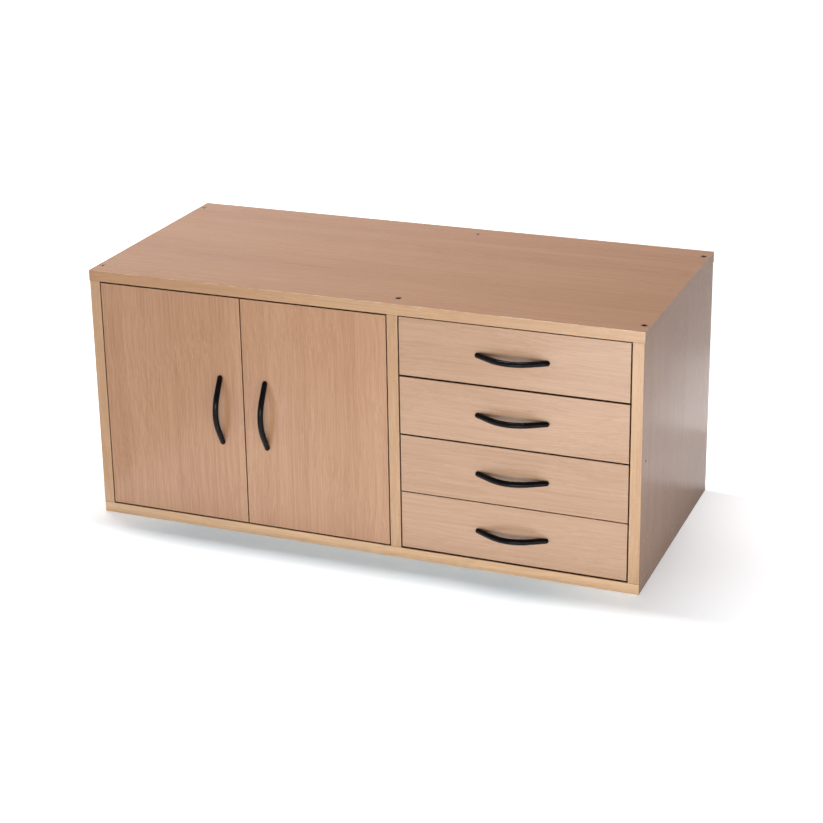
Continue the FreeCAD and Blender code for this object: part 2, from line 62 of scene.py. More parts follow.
def addCamera():
    azimuth = math.radians(camera["azimuth"])
    elevation = math.radians(camera["elevation"])
    level = math.cos(elevation)
    back = Vector((math.sin(azimuth) * level, -math.cos(azimuth) * level, math.sin(elevation)))
    right = Vector((math.cos(azimuth), math.sin(azimuth), 0))
    turn = Matrix((right, back.cross(right), back)).transposed()
    turn = turn @ Matrix.Rotation(math.radians(camera["roll"]), 3, "Z")
    data = bpy.data.cameras.new("camera")
    data.lens = camera["lens"]
    data.shift_y = camera["shiftY"]
    data.clip_end = camera["clipEnd"]
    holder = bpy.data.objects.new("camera", data)
    holder.matrix_world = Matrix.Translation(camera["position"]) @ turn.to_4x4()
    bpy.context.scene.collection.objects.link(holder)
    bpy.context.scene.camera = holder


# place adds one shader node: its links are sockets or plain values, its settings are the node's own
def place(tree, kind, links=None, **settings):
    node = tree.nodes.new("ShaderNode" + kind)
    for name, value in settings.items():
        setattr(node, name, value)
    for socket, source in (links or {}).items():
        if isinstance(source, bpy.types.NodeSocket):
            tree.links.new(source, node.inputs[socket])
        else:
            node.inputs[socket].default_value = source
    return node


def mathNode(tree, operation, first, second=0.0):
    return place(tree, "Math", {0: first, 1: second}, operation=operation).outputs[0]


def vectorNode(tree, operation, first, second=(0, 0, 0)):
    return place(tree, "VectorMath", {0: first, 1: second}, operation=operation).outputs[0]


def dotNode(tree, first, second):
    return place(tree, "VectorMath", {0: first, 1: second}, operation="DOT_PRODUCT").outputs["Value"]


def rampNode(tree, value, low, high, start=0.0, end=1.0):
    links = {"Value": value, "From Min": low, "From Max": high, "To Min": start, "To Max": end}
    return place(tree, "MapRange", links, interpolation_type="SMOOTHSTEP").outputs[0]


def mixNode(tree, share, first, second, blend="MIX"):
    node = place(tree, "Mix", {0: share, 6: first, 7: second}, data_type="RGBA", blend_type=blend)
    return node.outputs[2]


def noiseNode(tree, vector, stretch, detail, roughness=0.5):
    stretched = vectorNode(tree, "MULTIPLY", vector, stretch)
    links = {"Vector": stretched, "Scale": 1.0, "Detail": detail, "Roughness": roughness}
    return place(tree, "TexNoise", links).outputs["Fac"]


def newMaterial(name):
    material = bpy.data.materials.new(name)
    material.use_nodes = True
    tree = material.node_tree
    tree.nodes.clear()
    shader = place(tree, "BsdfPrincipled")
    output = place(tree, "OutputMaterial", {"Surface": shader.outputs[0]})
    output.is_active_output = True
    return material, tree, shader


def newGroup(name, inputs, outputs):
    group = bpy.data.node_groups.new(name, "ShaderNodeTree")
    for socketName, kind, value in inputs:
        socket = group.interface.new_socket(socketName, in_out="INPUT", socket_type="NodeSocket" + kind)
        socket.default_value = value
    for socketName, kind in outputs:
        group.interface.new_socket(socketName, in_out="OUTPUT", socket_type="NodeSocket" + kind)
    entry = group.nodes.new("NodeGroupInput").outputs
    result = group.nodes.new("NodeGroupOutput").inputs
    return group, entry, result


def useGroup(tree, group, links):
    return place(tree, "Group", links, node_tree=group).outputs


def rgb(red, green, blue):
    return (red, green, blue, 1.0)


stage = {
    "floorSpan": 80.0,
    "floorDrop": 0.3 * mm,
    "floorColour": rgb(0.88, 0.88, 0.89),
    "nearLift": 0.25,  # what the camera and reflections see on top of the lit floor
    "besideLift": 0.20,  # added for the camera beside the cabinet
    "behindLift": 0.22,  # and beside its rear
    "farLift": 1.0,
    "frontTint": rgb(0.52, 0.86, 1.0),  # evens out the brown that the front throws on the floor
    "tintFrom": 0.28,
    "tintTo": 0.60,
    "besideFrom": 0.22,
    "besideTo": 0.45,
    "behindFrom": -0.10,
    "behindTo": 0.20,
    "liftFrom": 0.5,  # metres from the middle
    "liftTo": 3.0,
    "flagFrom": 0.585,  # the floor further right is dimmer in reflections
    "flagTo": 0.665,
    "flagDim": 0.50,
    "horizon": rgb(0.72, 0.735, 0.76),
    "zenith": rgb(0.065, 0.068, 0.075),
    "horizonTop": 0.02,
    "zenithFrom": 0.45,
    "leftGlow": rgb(1.2, 1.224, 1.26),  # the backdrop is brighter on the left
    "glowFrom": 0.15,
    "glowTo": 0.65,
}
lamps = {  # lights: falls on matt surfaces, shines: is seen in glossy ones
    "overheadStrip": {
        "at": (-0.35, 0.15, 2.60), "aim": (-0.35, 0.15, 0.0), "size": (1.50, 0.25), "power": 55.0,
        "lights": True, "shines": True},
    "frontSoftbox": {
        "at": (0.45, -2.20, 0.28), "aim": (0.05, -0.19, 0.20), "size": (1.00, 0.50), "power": 22.5,
        "lights": True, "shines": True},
    "rightSoftbox": {
        "at": (1.10, -1.50, 0.22), "aim": (0.20, -0.19, 0.19), "size": (0.60, 0.40), "power": 4.75,
        "lights": True, "shines": True},
    "nearCard": {
        "at": (0.30, -0.485, 0.003), "aim": (0.30, -0.485, 1.0), "size": (1.50, 0.58), "power": 3.4,
        "lights": False, "shines": True},
    "farCard": {
        "at": (0.30, -1.05, 0.003), "aim": (0.30, -1.05, 1.0), "size": (0.60, 0.45), "power": 3.5,
        "lights": False, "shines": True},
    "rearCard": {
        "at": (0.51, 0.60, 0.003), "aim": (0.51, 0.60, 1.0), "size": (0.13, 0.36), "power": 0.08,
        "lights": False, "shines": True},
}


def addFloor():
    mesh = bpy.data.meshes.new("floor")
    form = bmesh.new()
    bmesh.ops.create_grid(form, x_segments=1, y_segments=1, size=stage["floorSpan"] / 2)
    bmesh.ops.translate(form, verts=form.verts, vec=(0, 0, -stage["floorDrop"]))
    form.to_mesh(mesh)
    form.free()
    floor = bpy.data.objects.new("floor", mesh)
    bpy.context.scene.collection.objects.link(floor)
    material, tree, shader = newMaterial("floorPaper")
    shader.inputs["Base Color"].default_value = stage["floorColour"]
    shader.inputs["Roughness"].default_value = 1.0
    shader.inputs["Specular IOR Level"].default_value = 0.0
    path = place(tree, "LightPath").outputs
    seen = mathNode(tree, "MAXIMUM", path["Is Camera Ray"], path["Is Glossy Ray"])
    seen = mathNode(tree, "MAXIMUM", seen, path["Is Transmission Ray"])
    position = place(tree, "TexCoord").outputs["Object"]
    away = place(tree, "VectorMath", {0: position}, operation="LENGTH").outputs["Value"]
    split = place(tree, "SeparateXYZ", {0: position}).outputs
    fromMiddle = mathNode(tree, "ABSOLUTE", split["X"])
    beside = rampNode(tree, fromMiddle, stage["besideFrom"], stage["besideTo"])
    behind = rampNode(tree, split["Y"], stage["behindFrom"], stage["behindTo"])
    amount = rampNode(tree, away, stage["liftFrom"], stage["liftTo"], stage["nearLift"], stage["farLift"])
    amount = mathNode(tree, "MULTIPLY", seen, amount)
    extra = mathNode(tree, "MULTIPLY", beside, stage["besideLift"])
    extra = mathNode(tree, "ADD", extra, mathNode(tree, "MULTIPLY", behind, stage["behindLift"]))
    extra = mathNode(tree, "MULTIPLY", extra, path["Is Camera Ray"])
    plain = mathNode(tree, "MAXIMUM", mathNode(tree, "MAXIMUM", beside, behind),
                     rampNode(tree, away, stage["tintFrom"], stage["tintTo"]))
    tint = mixNode(tree, plain, stage["frontTint"], rgb(1, 1, 1))
    lift = place(tree, "Emission", {"Color": tint, "Strength": mathNode(tree, "ADD", amount, extra)})
    both = place(tree, "AddShader", {0: shader.outputs[0], 1: lift.outputs[0]})
    flag = rampNode(tree, split["X"], stage["flagFrom"], stage["flagTo"], 0.0, stage["flagDim"])
    flag = mathNode(tree, "MULTIPLY", flag, path["Is Glossy Ray"])
    flagged = place(tree, "MixShader", {0: flag, 1: both.outputs[0]})  # the open second input is black
    tree.links.new(flagged.outputs[0], tree.nodes["Material Output"].inputs["Surface"])
    mesh.materials.append(material)


def addWorld():
    world = bpy.data.worlds.new("studio")
    world.use_nodes = True
    tree = world.node_tree
    tree.nodes.clear()
    direction = place(tree, "TexCoord").outputs["Generated"]
    split = place(tree, "SeparateXYZ", {0: direction}).outputs
    share = rampNode(tree, split["Z"], stage["horizonTop"], stage["zenithFrom"])
    colour = mixNode(tree, share, stage["horizon"], stage["zenith"])
    leftward = mathNode(tree, "MULTIPLY", split["X"], -1.0)
    glow = mathNode(tree, "MULTIPLY", rampNode(tree, leftward, stage["glowFrom"], stage["glowTo"]),
                    mathNode(tree, "SUBTRACT", 1.0, share))
    colour = mixNode(tree, glow, colour, stage["leftGlow"], "ADD")
    sky = place(tree, "Background", {"Color": colour})
    place(tree, "OutputWorld", {"Surface": sky.outputs[0]})
    bpy.context.scene.world = world


def addLamps():
    for name, lamp in lamps.items():
        data = bpy.data.lights.new(name, "AREA")
        data.shape = "RECTANGLE"
        data.size, data.size_y = lamp["size"]
        data.energy = lamp["power"]
        holder = bpy.data.objects.new(name, data)
        holder.location = lamp["at"]
        aim = Vector(lamp["aim"]) - Vector(lamp["at"])
        holder.rotation_euler = aim.to_track_quat("-Z", "Y").to_euler()
        holder.visible_camera = False
        holder.visible_diffuse = lamp["lights"]
        holder.visible_glossy = lamp["shines"]
        bpy.context.scene.collection.objects.link(holder)


addCamera()
addFloor()
addWorld()
addLamps()
bpy.context.scene.view_settings.view_transform = "Standard"
print("stage: camera, floor, backdrop and %d lamps" % len(lamps))


# Effects that several finishes share

figure = {  # stretch: noise cycles for each metre along and across, span: the noise values that fade
    "sway": {"stretch": (2.2, 5.0, 5.0), "detail": 2.0, "roughness": 0.5, "reach": 0.050},
    "board": {"stretch": (0.7, 20.0, 20.0), "detail": 2.0, "roughness": 0.5, "span": (0.30, 0.70)},
    "streak": {"stretch": (2.0, 170.0, 170.0), "detail": 3.0, "roughness": 0.55, "span": (0.28, 0.72)},
    "line": {"stretch": (4.0, 480.0, 480.0), "detail": 2.0, "roughness": 0.6, "span": (0.30, 0.70)},
    "thread": {"stretch": (10.0, 1000.0, 1000.0), "detail": 2.0, "roughness": 0.6, "span": (0.30, 0.72)},
    "pore": {"stretch": (75.0, 1500.0, 1500.0), "detail": 1.0, "roughness": 0.5, "span": (0.62, 0.76)},
    "depth": {"board": 0.22, "streak": 0.18, "line": 0.22, "thread": 0.30},
    "baseDepth": 0.04,  # keeps the mean in the middle
    "poreDepth": 0.50,
    "lineGloss": 0.5,
    "threadHeight": 0.5,
}
boardEdge = {
    "skinFrom": 0.10 * mm,
    "skinTo": 0.25 * mm,
    "holeFrom": 0.35 * mm,
    "holeTo": 0.60 * mm,
    # the paler edge zone: real wear, and a painted highlight along the edges
    "wearGlintFrom": 0.15 * mm,
    "wearGlintTo": 1.10 * mm,
    "patchStretch": (60.0, 60.0, 60.0),
    "patchDetail": 3.0,
    "patchSpan": (0.35, 0.70),
}
# painted shade: darkens the rims in the gaps round the doors and drawers, where shade falls
grime = {
    "slack": 0.1 * mm,
    "beginsFrom": 0.2 * mm,
    "beginsTo": 0.8 * mm,
    "solid": 7.0 * mm,
    "reach": 14.0 * mm,
    "shade": rgb(0.30, 0.24, 0.20),
    "roughness": 0.30,
}
chip = {
    "pale": rgb(0.50, 0.34, 0.19),
    "deep": rgb(0.24, 0.14, 0.07),
    "dust": rgb(0.58, 0.43, 0.27),
    "flakeScale": 420.0,
    "dustStretch": (1300.0, 1300.0, 1300.0),
    "dustDetail": 2.0,
    "dustSpan": (0.50, 0.75),
}
toolMarks = {
    "cloudStretch": (90.0, 90.0, 90.0),
    "cloudSpan": (0.3, 0.7),
    "detail": 3.0,
    "span": (0.3, 0.7),
    "depth": 0.05 * mm,
}


def figureLayer(group, vector, name):
    layer = figure[name]
    noise = noiseNode(group, vector, layer["stretch"], layer["detail"], layer["roughness"])
    return rampNode(group, noise, *layer["span"])


def makeBeechFigure():  # the grain runs along the vector's X, in metres
    group, entry, result = newGroup(
        "beechFigure",
        [("Vector", "Vector", (0, 0, 0)), ("Pale", "Color", rgb(1, 1, 1)), ("Deep", "Color", rgb(0, 0, 0)),
         ("Pore", "Color", rgb(0, 0, 0))],
        [("Color", "Color"), ("Gloss", "Float"), ("Height", "Float")])
    wave = figure["sway"]
    sway = noiseNode(group, entry["Vector"], wave["stretch"], wave["detail"], wave["roughness"])
    sway = mathNode(group, "MULTIPLY", mathNode(group, "SUBTRACT", sway, 0.5), wave["reach"])
    bend = place(group, "CombineXYZ", {"Y": sway, "Z": sway}).outputs[0]
    bent = vectorNode(group, "ADD", entry["Vector"], bend)
    layers = {name: figureLayer(group, bent, name) for name in figure["depth"]}
    pore = figureLayer(group, bent, "pore")
    depth = figure["baseDepth"]
    for name, share in figure["depth"].items():
        depth = mathNode(group, "ADD", mathNode(group, "MULTIPLY", layers[name], share), depth)
    tone = mixNode(group, depth, entry["Pale"], entry["Deep"])
    poreShare = mathNode(group, "MULTIPLY", pore, figure["poreDepth"])
    group.links.new(mixNode(group, poreShare, tone, entry["Pore"]), result["Color"])
    lineGloss = mathNode(group, "MULTIPLY", layers["line"], figure["lineGloss"])
    group.links.new(mathNode(group, "ADD", lineGloss, pore), result["Gloss"])
    sunk = mathNode(group, "ADD", mathNode(group, "MULTIPLY", layers["thread"], figure["threadHeight"]), pore)
    group.links.new(mathNode(group, "SUBTRACT", 1.0, sunk), result["Height"])
    return group


def makeBoardZones():  # where a point lies on a rectangular board
    group, entry, result = newGroup(
        "boardZones",
        [("Position", "Vector", (0, 0, 0)), ("Centre", "Vector", (0, 0, 0)),
         ("Half Size", "Vector", (1, 1, 1)), ("Grain Axis", "Vector", (1, 0, 0)),
         ("Raw Axis", "Vector", (0, 1, 0)), ("Raw Share", "Float", 0.0)],
        [("Ends", "Float"), ("Core", "Float"), ("WearAndGlint", "Float")])
    offset = vectorNode(group, "SUBTRACT", entry["Position"], entry["Centre"])
    depth = vectorNode(group, "SUBTRACT", entry["Half Size"], vectorNode(group, "ABSOLUTE", offset))
    split = place(group, "SeparateXYZ", {0: depth}).outputs
    low = mathNode(group, "MINIMUM", split["X"], split["Y"])
    high = mathNode(group, "MAXIMUM", split["X"], split["Y"])
    least = mathNode(group, "MINIMUM", low, split["Z"])
    middle = mathNode(group, "MAXIMUM", low, mathNode(group, "MINIMUM", high, split["Z"]))
    fromEnd = dotNode(group, depth, entry["Grain Axis"])
    skin = (boardEdge["skinFrom"], boardEdge["skinTo"])
    group.links.new(rampNode(group, fromEnd, *skin, 1.0, 0.0), result["Ends"])
    reach = dotNode(group, entry["Half Size"], entry["Raw Axis"])
    along = dotNode(group, offset, entry["Raw Axis"])
    raw = rampNode(group, mathNode(group, "SUBTRACT", reach, along), *skin, 1.0, 0.0)
    raw = mathNode(group, "MULTIPLY", raw, entry["Raw Share"])
    hole = rampNode(group, least, boardEdge["holeFrom"], boardEdge["holeTo"])
    group.links.new(mathNode(group, "MAXIMUM", raw, hole), result["Core"])
    # paler edges, in patches: partly real wear, partly a painted highlight
    patchNoise = noiseNode(group, entry["Position"], boardEdge["patchStretch"], boardEdge["patchDetail"])
    patches = rampNode(group, patchNoise, *boardEdge["patchSpan"])
    edge = rampNode(group, middle, boardEdge["wearGlintFrom"], boardEdge["wearGlintTo"], 1.0, 0.0)
    group.links.new(mathNode(group, "MULTIPLY", edge, patches), result["WearAndGlint"])
    return group


def makeGapGrime():  # painted shade on the rims that face each other in the gaps round the doors and drawers, where shade falls
    group, entry, result = newGroup("gapGrime", [("Position", "Vector", (0, 0, 0))], [("Grime", "Float")])
    split = place(group, "SeparateXYZ", {0: entry["Position"]}).outputs
    low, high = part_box("left_side")
    slack = grime["slack"]
    fromMiddle = mathNode(group, "ABSOLUTE", split["X"])
    inside = mathNode(group, "LESS_THAN", fromMiddle, slack - high.x)
    inside = mathNode(group, "MULTIPLY", inside, mathNode(group, "GREATER_THAN", split["Z"], low.z - slack))
    inside = mathNode(group, "MULTIPLY", inside, mathNode(group, "LESS_THAN", split["Z"], high.z + slack))
    begins = rampNode(group, split["Y"], low.y + grime["beginsFrom"], low.y + grime["beginsTo"])
    fades = rampNode(group, split["Y"], low.y + grime["solid"], low.y + grime["reach"], 1.0, 0.0)
    zone = mathNode(group, "MULTIPLY", begins, fades)
    group.links.new(mathNode(group, "MULTIPLY", inside, zone), result["Grime"])
    return group


def makeChipboard():  # flakes and dust of the board's core
    group, entry, result = newGroup(
        "chipboard", [("Vector", "Vector", (0, 0, 0))], [("Color", "Color"), ("Height", "Float")])
    flake = place(group, "TexVoronoi", {"Vector": entry["Vector"], "Scale": chip["flakeScale"]}).outputs
    shade = place(group, "SeparateXYZ", {0: flake["Color"]}).outputs["X"]
    dust = noiseNode(group, entry["Vector"], chip["dustStretch"], chip["dustDetail"])
    colour = mixNode(group, shade, chip["pale"], chip["deep"])
    colour = mixNode(group, rampNode(group, dust, *chip["dustSpan"]), colour, chip["dust"])
    group.links.new(colour, result["Color"])
    group.links.new(mathNode(group, "ADD", flake["Distance"], dust), result["Height"])
    return group


def makeFineMarks():  # plated or moulded surfaces: faint clouds and fine tool marks
    group, entry, result = newGroup(
        "fineMarks", [("Vector", "Vector", (0, 0, 0)), ("Stretch", "Vector", (1, 1, 1))],
        [("Cloud", "Float"), ("Marks", "Float")])
    cloud = noiseNode(group, entry["Vector"], toolMarks["cloudStretch"], toolMarks["detail"])
    group.links.new(rampNode(group, cloud, *toolMarks["cloudSpan"]), result["Cloud"])
    drawn = vectorNode(group, "MULTIPLY", entry["Vector"], entry["Stretch"])
    links = {"Vector": drawn, "Scale": 1.0, "Detail": toolMarks["detail"]}
    marks = place(group, "TexNoise", links).outputs["Fac"]
    group.links.new(marks, result["Marks"])
    return group


beechFigure = makeBeechFigure()
boardZones = makeBoardZones()
gapGrime = makeGapGrime()
chipboard = makeChipboard()
fineMarks = makeFineMarks()
print("effects: beech figure, board zones, gap grime, chipboard, fine marks")


# Laminated boards

grainTurns = {  # turns the pattern so that its X runs along the named axis
    "x": (0, 0, 0),
    "y": (0, 0, math.radians(-90)),
    "z": (0, math.radians(90), 0),
}
beechLooks = {
    "door": {
        "pale": rgb(0.515, 0.299, 0.173), "deep": rgb(0.344, 0.165, 0.080), "pore": rgb(0.190, 0.084, 0.038)},
    "drawer": {
        "pale": rgb(0.520, 0.337, 0.222), "deep": rgb(0.371, 0.208, 0.116), "pore": rgb(0.217, 0.106, 0.051)},
    "carcass": {
        "pale": rgb(0.540, 0.298, 0.168), "deep": rgb(0.380, 0.180, 0.094), "pore": rgb(0.220, 0.100, 0.046)},
    "band": {
        "pale": rgb(0.576, 0.367, 0.212), "deep": rgb(0.407, 0.228, 0.115), "pore": rgb(0.283, 0.147, 0.068)},
    "foil": {
        "pale": rgb(0.660, 0.470, 0.310), "deep": rgb(0.520, 0.340, 0.200), "pore": rgb(0.360, 0.210, 0.110)},
}
laminate = {
    "roughness": 0.24,
    "roughnessSpread": 0.04,
    "specular": 0.5,
    "bump": 0.05,
    "bumpDepth": 0.05 * mm,
    "coreBumpDepth": 0.35 * mm,
    "coreRoughness": 0.45,  # added on bare chipboard
    # paler edges: partly real wear, partly a painted highlight
    "wearAndGlint": 0.55,
    "seedStep": Vector((0.37, 0.53, 0.29)),  # shifts the figure from board to board
}


def figureOn(tree, position, look, grain, seed):
    offset = laminate["seedStep"] * seed
    links = {"Vector": position, "Location": offset, "Rotation": grainTurns[grain]}
    turned = place(tree, "Mapping", links).outputs[0]
    return useGroup(tree, beechFigure, {
        "Vector": turned, "Pale": look["pale"], "Deep": look["deep"], "Pore": look["pore"]})


def laminateMaterial(node, lookName, grain, endLook, endGrain, rawAxis, seed, endSeed):
    material, tree, shader = newMaterial(node + "_beech")
    low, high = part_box(node)
    position = place(tree, "TexCoord").outputs["Object"]
    zones = useGroup(tree, boardZones, {
        "Position": position, "Centre": (low + high) / 2, "Half Size": (high - low) / 2,
        "Grain Axis": axes[grain], "Raw Axis": axes[rawAxis or "y"], "Raw Share": 1.0 if rawAxis else 0.0})
    face = figureOn(tree, position, beechLooks[lookName], grain, seed)
    ends = figureOn(tree, position, beechLooks[endLook], endGrain, endSeed)
    core = useGroup(tree, chipboard, {"Vector": position})
    colour = mixNode(tree, zones["Ends"], face["Color"], ends["Color"])
    # paler edges: partly real wear, partly a painted highlight
    wearGlintShare = mathNode(tree, "MULTIPLY", zones["WearAndGlint"], laminate["wearAndGlint"])
    colour = mixNode(tree, wearGlintShare, colour, beechLooks["band"]["pale"])
    # painted shade in the gaps round the doors and drawers
    grimy = useGroup(tree, gapGrime, {"Position": position})["Grime"]
    colour = mixNode(tree, grimy, colour, grime["shade"], "MULTIPLY")
    tree.links.new(mixNode(tree, zones["Core"], colour, core["Color"]), shader.inputs["Base Color"])
    rough = mathNode(tree, "MULTIPLY", face["Gloss"], laminate["roughnessSpread"])
    rough = mathNode(tree, "ADD", rough, laminate["roughness"])
    rough = mathNode(tree, "ADD", rough, mathNode(tree, "MULTIPLY", zones["Core"], laminate["coreRoughness"]))
    rough = mathNode(tree, "ADD", rough, mathNode(tree, "MULTIPLY", grimy, grime["roughness"]))
    tree.links.new(rough, shader.inputs["Roughness"])
    shader.inputs["Specular IOR Level"].default_value = laminate["specular"]
    skin = place(tree, "Bump", {
        "Strength": laminate["bump"], "Distance": laminate["bumpDepth"], "Height": face["Height"]})
    chips = place(tree, "Bump", {
        "Strength": zones["Core"], "Distance": laminate["coreBumpDepth"], "Height": core["Height"],
        "Normal": skin.outputs[0]})
    tree.links.new(chips.outputs[0], shader.inputs["Normal"])
    return material


def dress(node, material):
    slots = nodes[node].data.materials
    if len(slots) == 0:
        slots.append(material)
    for index in range(len(slots)):
        slots[index] = material


boards = [  # node, look, grain along, look and grain of the ends, raw edge, seed, seed of the ends
    ("top_panel", "carcass", "x", "carcass", "y", "y", 1, 1),
    ("bottom_panel", "carcass", "x", "carcass", "z", "y", 2, 4),
    ("left_side", "carcass", "z", "band", "y", "y", 3, 3),
    ("right_side", "carcass", "z", "band", "y", "y", 4, 4),
    ("divider", "carcass", "z", "band", "y", "y", 5, 5),
    ("shelf", "carcass", "x", "band", "y", "y", 6, 6),
    ("left_door_panel", "door", "z", "band", "x", None, 7, 7),
    ("right_door_panel", "door", "z", "band", "x", None, 8, 8),
]
for number, name in enumerate(drawerNames):
    boards.append((name + "_front", "drawer", "x", "band", "z", None, 11 + number, 11 + number))
    boards.append((name + "_left_side", "foil", "y", "band", "z", "y", 21 + number, 21 + number))
    boards.append((name + "_right_side", "foil", "y", "band", "z", "y", 31 + number, 31 + number))
    boards.append((name + "_back", "foil", "x", "band", "z", None, 41 + number, 41 + number))
for board in boards:
    dress(board[0], laminateMaterial(*board))
print("boards: %d dressed in laminate" % len(boards))


# Front edge bands: straight grain along each strip

band = {
    # pale edge colour: partly real wear, partly a painted highlight
    "rim": rgb(0.78, 0.60, 0.44),
    "lowPaintedLight": rgb(1.24, 1.33, 1.40),  # painted light: the bottom strip is paler, making up for the light it misses beside the floor
    "highPaintedShade": rgb(0.86, 0.78, 0.72),  # painted shade: the top strip is browner at its left end, where less light falls
    "highFrom": 0.06,
    "highTo": -0.32,
    "seam": rgb(0.62, 0.54, 0.48),
    "seamWidth": 0.8 * mm,
    "acrossSeed": 51,
    "uprightSeed": 52,
}


def bandMaterial():
    material, tree, shader = newMaterial("front_band_beech")
    low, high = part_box("front_edge_bands")
    panelLow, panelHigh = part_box("bottom_panel")
    thickness = panelHigh.z - panelLow.z
    position = place(tree, "TexCoord").outputs["Object"]
    split = place(tree, "SeparateXYZ", {0: position}).outputs
    height = split["Z"]
    fromMiddle = mathNode(tree, "ABSOLUTE", mathNode(tree, "SUBTRACT", height, (low.z + high.z) / 2))
    limit = (high.z - low.z) / 2 - thickness
    level = mathNode(tree, "GREATER_THAN", fromMiddle, limit)
    across = figureOn(tree, position, beechLooks["band"], "x", band["acrossSeed"])
    upright = figureOn(tree, position, beechLooks["band"], "z", band["uprightSeed"])
    colour = mixNode(tree, level, upright["Color"], across["Color"])
    zones = useGroup(tree, boardZones, {
        "Position": position, "Centre": (low + high) / 2, "Half Size": (high - low) / 2})
    # paler edges: partly real wear, partly a painted highlight
    wearGlintShare = mathNode(tree, "MULTIPLY", zones["WearAndGlint"], laminate["wearAndGlint"])
    colour = mixNode(tree, wearGlintShare, colour, band["rim"])
    # painted light on the bottom strip
    below = mathNode(tree, "LESS_THAN", height, panelHigh.z)
    colour = mixNode(tree, below, colour, band["lowPaintedLight"], "MULTIPLY")
    # painted shade at the left end of the top strip
    above = mathNode(tree, "GREATER_THAN", height, high.z - thickness)
    leftward = rampNode(tree, split["X"], band["highTo"], band["highFrom"], 1.0, 0.0)
    leftShade = mathNode(tree, "MULTIPLY", above, leftward)
    colour = mixNode(tree, leftShade, colour, band["highPaintedShade"], "MULTIPLY")
    fromSeam = mathNode(tree, "ABSOLUTE", mathNode(tree, "SUBTRACT", height, panelHigh.z))
    seam = rampNode(tree, fromSeam, 0.0, band["seamWidth"], 1.0, 0.0)
    colour = mixNode(tree, seam, colour, band["seam"], "MULTIPLY")
    tree.links.new(colour, shader.inputs["Base Color"])
    gloss = mathNode(tree, "MULTIPLY", across["Gloss"], laminate["roughnessSpread"])
    tree.links.new(mathNode(tree, "ADD", gloss, laminate["roughness"]), shader.inputs["Roughness"])
    return material


dress("front_edge_bands", bandMaterial())
print("bands: dressed")


# Hardboard: brown pressed fibre, smooth face and meshed back

hardboard = {
    "pale": rgb(0.36, 0.215, 0.115),
    "deep": rgb(0.22, 0.12, 0.06),
    "fibre": rgb(0.45, 0.30, 0.18),
    "cloudStretch": (18.0, 18.0, 18.0),
    "cloudDetail": 4.0,
    "cloudRoughness": 0.6,
    "cloudSpan": (0.3, 0.7),
    "fibreStretch": (620.0, 900.0, 420.0),
    "fibreDetail": 3.0,
    "fibreRoughness": 0.65,
    "fibreSpan": (0.52, 0.72),
    "roughSpan": (0.3, 0.7),
    "smooth": 0.55,
    "matt": 0.75,
    "bump": 0.25,
    "bumpDepth": 0.12 * mm,
}


def hardboardMaterial():
    material, tree, shader = newMaterial("pressed_hardboard")
    position = place(tree, "TexCoord").outputs["Object"]
    cloud = noiseNode(
        tree, position, hardboard["cloudStretch"], hardboard["cloudDetail"], hardboard["cloudRoughness"])
    cloud = rampNode(tree, cloud, *hardboard["cloudSpan"])
    fibre = noiseNode(
        tree, position, hardboard["fibreStretch"], hardboard["fibreDetail"], hardboard["fibreRoughness"])
    colour = mixNode(tree, cloud, hardboard["pale"], hardboard["deep"])
    colour = mixNode(tree, rampNode(tree, fibre, *hardboard["fibreSpan"]), colour, hardboard["fibre"])
    tree.links.new(colour, shader.inputs["Base Color"])
    rough = rampNode(tree, fibre, *hardboard["roughSpan"], hardboard["smooth"], hardboard["matt"])
    tree.links.new(rough, shader.inputs["Roughness"])
    bump = place(tree, "Bump", {
        "Strength": hardboard["bump"], "Distance": hardboard["bumpDepth"], "Height": fibre})
    tree.links.new(bump.outputs[0], shader.inputs["Normal"])
    return material


pressedHardboard = hardboardMaterial()
for node in ["back_panel"] + [name + "_bottom" for name in drawerNames]:
    dress(node, pressedHardboard)
print("hardboard: back panel and drawer bottoms")


# Metal and plastic fittings

fittings = {
    "zinc_plate": {
        "pale": rgb(0.62, 0.62, 0.62), "deep": rgb(0.46, 0.46, 0.48), "metal": 1.0, "specular": 0.5,
        "smooth": 0.26, "matt": 0.42, "stretch": (900.0, 900.0, 60.0), "bump": 0.04},
    "screw_steel": {
        "pale": rgb(0.20, 0.19, 0.20), "deep": rgb(0.09, 0.085, 0.09), "metal": 1.0, "specular": 0.5,
        "smooth": 0.30, "matt": 0.50, "stretch": (1500.0, 1500.0, 1500.0), "bump": 0.06},
    "brown_plastic": {
        "pale": rgb(0.32, 0.205, 0.13), "deep": rgb(0.25, 0.155, 0.095), "metal": 0.0, "specular": 0.4,
        "smooth": 0.42, "matt": 0.58, "stretch": (2400.0, 2400.0, 2400.0), "bump": 0.05},
    "dark_ferrite": {
        "pale": rgb(0.075, 0.075, 0.08), "deep": rgb(0.035, 0.035, 0.04), "metal": 0.0, "specular": 0.4,
        "smooth": 0.5, "matt": 0.75, "stretch": (1800.0, 1800.0, 1800.0), "bump": 0.10},
    "black_coat": {
        "pale": rgb(0.008, 0.007, 0.0078), "deep": rgb(0.004, 0.0036, 0.0042), "metal": 0.0, "specular": 0.07,
        "smooth": 0.06, "matt": 0.09, "stretch": (1600.0, 1600.0, 1600.0), "bump": 0.02},
}


